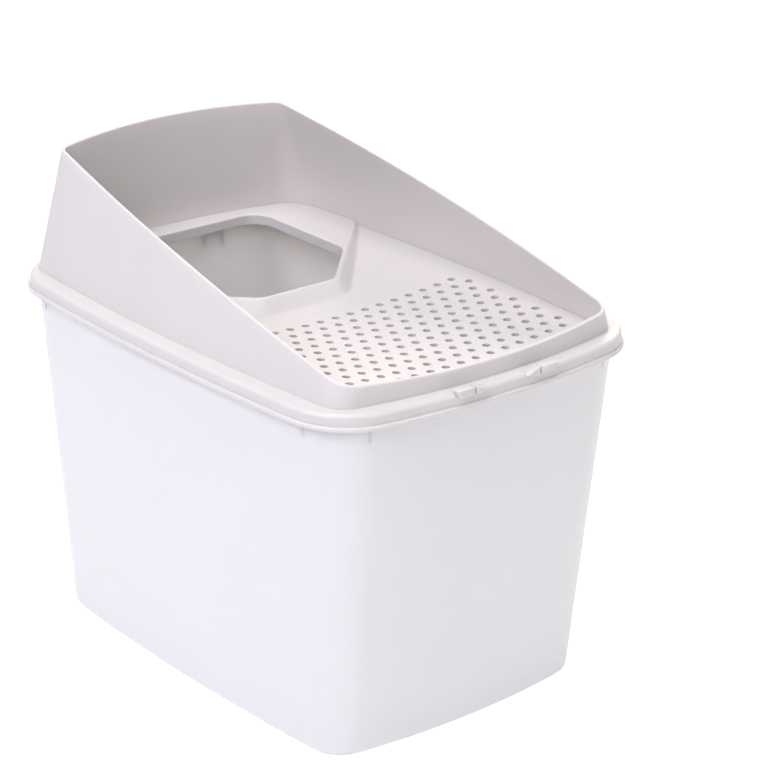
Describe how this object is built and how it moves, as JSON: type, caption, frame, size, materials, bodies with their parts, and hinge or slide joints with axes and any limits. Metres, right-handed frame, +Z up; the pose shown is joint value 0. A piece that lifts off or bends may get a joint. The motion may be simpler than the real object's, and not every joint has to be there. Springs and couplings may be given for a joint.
{
  "type": "top entry litter box",
  "caption": "Deep tapered litter bin under a lid with a sloping collar, a perforated step and a top entry hole; the lid swings up on a rear hinge.",
  "frame": {"origin": "on the floor, under the centre of the object's length and width", "axes": "+Z up, -Y towards the low front end of the lid, +Y towards the high rear end with the hinge, +X across the width"},
  "size_m": [0.3804, 0.512, 0.4554],
  "materials": {
    "bin_plastic": "white moulded polypropylene, satin outside",
    "lid_plastic": "white moulded polypropylene, satin",
    "pin_plastic": "natural white acetal, turned"
  },
  "bodies": {
    "bin": {"bin": "bin_plastic", "hinge_pins": "pin_plastic"},
    "lid": {"lid": "lid_plastic"}
  },
  "joints": [
    {"name": "lid_hinge", "type": "hinge", "parent": "bin", "child": "lid", "pos_m": [0, 0.2514, 0.3215], "axis": [-1, 0, 0], "range_deg": [0, 100]}
  ]
}
